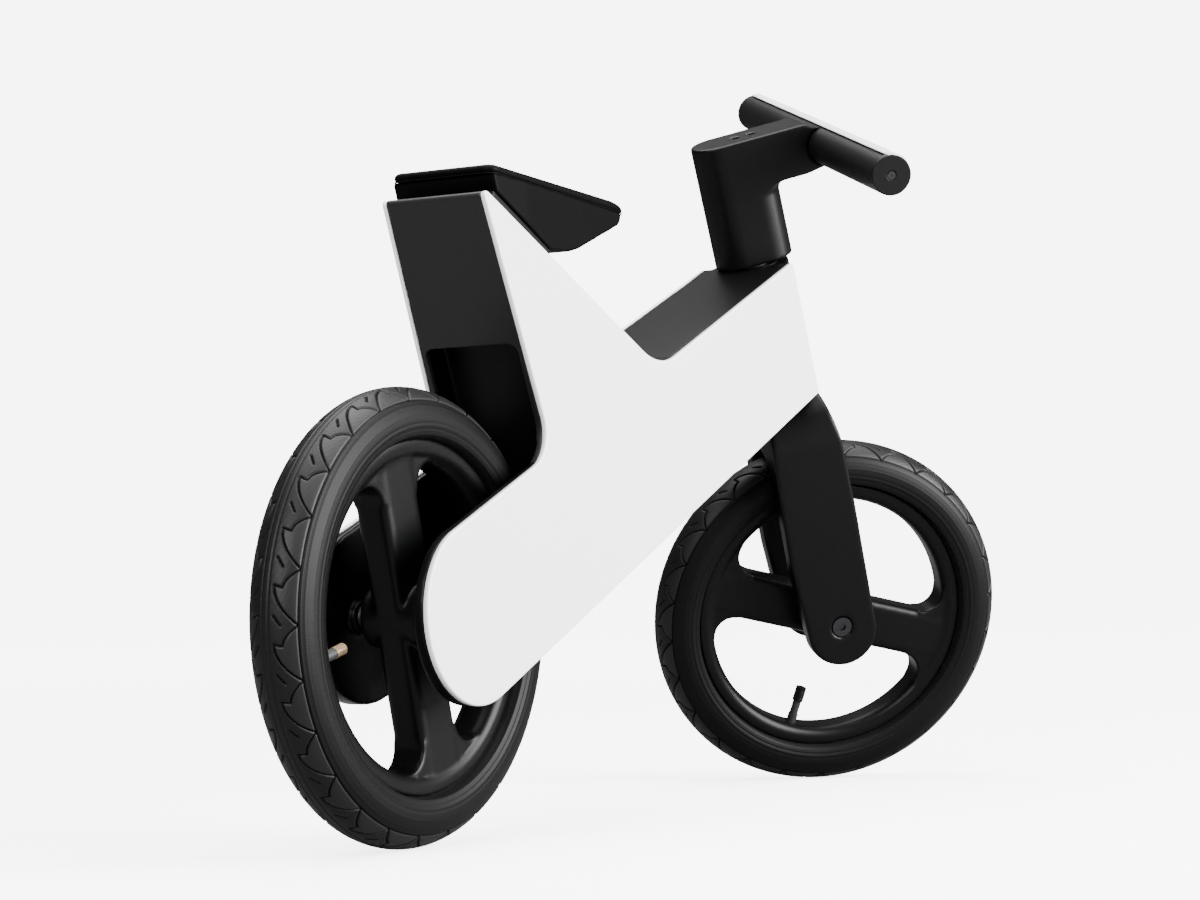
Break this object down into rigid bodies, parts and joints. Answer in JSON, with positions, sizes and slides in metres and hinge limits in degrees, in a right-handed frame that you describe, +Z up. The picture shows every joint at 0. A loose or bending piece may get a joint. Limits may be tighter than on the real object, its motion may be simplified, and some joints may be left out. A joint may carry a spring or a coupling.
{
  "type": "balance bike",
  "caption": "Child's balance bike with a flat-sided beam frame, leaning fork, cross-bar wheels, pneumatic tyres, T-shaped steering and a wedge seat on a sliding post.",
  "frame": {"origin": "on the ground straight under the rear axle, in the middle plane of the frame", "axes": "+X forward along the frame, +Y to the rider's left, +Z up"},
  "size_m": [0.8673, 0.2925, 0.5742],
  "materials": {
    "black_casting": "satin black coat on a light-alloy casting",
    "white_panel": "white satin gloss",
    "grey_cover": "dark grey, fine matte",
    "steel": "dark zinc",
    "black_plastic": "matte black",
    "alloy": "black anodised",
    "grip_rubber": "matte black",
    "tyre": "matte grey-black",
    "tube_rubber": "plain black",
    "brass": "plain brass",
    "seat_skin": "black moulded skin over foam"
  },
  "bodies": {
    "frame": {"frame_core": "black_casting", "right_panel": "white_panel", "left_panel": "white_panel", "rear_cover": "grey_cover", "lower_head_bearing": "steel", "upper_head_bearing": "steel", "upper_head_ring": "black_plastic", "rear_axle": "steel", "rear_axle_bolts": "steel", "rear_axle_spacers": "steel", "seat_clamp_screw": "steel"},
    "steering": {"fork": "black_casting", "steerer_tube": "alloy", "crown_race": "steel", "stem": "black_casting", "stem_bolts": "steel", "handlebar_tube": "alloy", "bar_cover": "white_panel", "left_grip": "grip_rubber", "right_grip": "grip_rubber", "left_end_cap": "black_plastic", "right_end_cap": "black_plastic", "end_cap_screws": "steel", "front_axle": "steel", "front_axle_bolts": "steel", "front_axle_spacers": "steel"},
    "front_wheel": {"front_wheel_casting": "black_casting", "front_hub_bearings": "steel", "front_tyre": "tyre", "front_inner_tube": "tube_rubber", "front_valve_stem": "tube_rubber", "front_valve_cap": "black_plastic"},
    "rear_wheel": {"rear_wheel_casting": "black_casting", "rear_hub_bearings": "steel", "rear_tyre": "tyre", "rear_inner_tube": "tube_rubber", "rear_valve_stem": "tube_rubber", "rear_valve_core": "brass"},
    "seat": {"seat_plate": "black_plastic", "seat_shell": "seat_skin", "seat_pad": "seat_skin", "seat_post": "alloy", "seat_screws": "steel"}
  },
  "joints": [
    {"name": "steering", "type": "hinge", "parent": "frame", "child": "steering", "pos_m": [0.61, 0, 0.13927], "axis": [-0.4067, 0, 0.9135], "range_deg": [-12, 108]},
    {"name": "front_wheel_spin", "type": "hinge", "parent": "steering", "child": "front_wheel", "pos_m": [0.61, 0, 0.13927], "axis": [0.6789, 0.6691, 0.3023], "continuous": true},
    {"name": "rear_wheel_spin", "type": "hinge", "parent": "frame", "child": "rear_wheel", "pos_m": [0, 0, 0.145], "axis": [0, 1, 0], "continuous": true},
    {"name": "seat_height", "type": "slide", "parent": "frame", "child": "seat", "axis": [-0.4099, 0, 0.9121], "range_m": [0, 0.05]}
  ]
}
